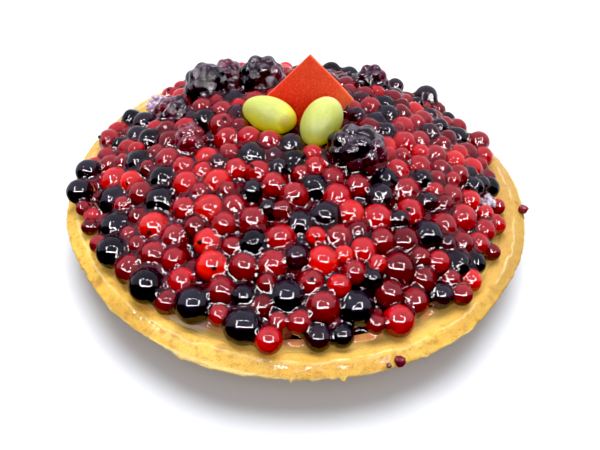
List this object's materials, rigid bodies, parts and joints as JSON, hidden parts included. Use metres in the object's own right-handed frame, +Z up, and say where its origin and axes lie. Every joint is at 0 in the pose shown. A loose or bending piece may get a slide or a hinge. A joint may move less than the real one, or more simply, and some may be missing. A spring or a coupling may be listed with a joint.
{
  "type": "forest fruit tart",
  "caption": "Round open fruit tart: a shallow flared crust with a flat brim, custard filling and a glazed heap of red and dark berries with grapes, brambles and a small square plaque on top.",
  "frame": {"origin": "on the floor under the middle of the round base", "axes": "+Z is up; -Y is the front, on the side of the plaque where the two grapes lie; +X is to the right seen from the front"},
  "size_m": [0.2003, 0.2, 0.0711],
  "materials": {
    "crust": "baked golden shortcrust, finely pitted, glazed along its ridge",
    "custard": "set pale yellow custard",
    "berries": "wet berries under clear jelly glaze",
    "grape": "translucent yellow-green skin with a soft bloom",
    "bramble": "near-black glossy drupelets under jelly",
    "raspberry": "wine-red drupelets under jelly",
    "jelly": "pale translucent set jelly",
    "plaque": "orange-red velvety sprayed chocolate"
  },
  "bodies": {
    "root": {"crust": "crust", "custard": "custard", "berry_heap": "berries", "grape_left": "grape", "grape_right": "grape", "bramble_1": "bramble", "bramble_2": "bramble", "bramble_3": "bramble", "bramble_4": "bramble", "bramble_5": "bramble", "bramble_6": "bramble", "raspberry": "raspberry", "jelly_lump_left": "jelly", "jelly_lump_right": "jelly", "plaque": "plaque"}
  },
  "joints": []
}
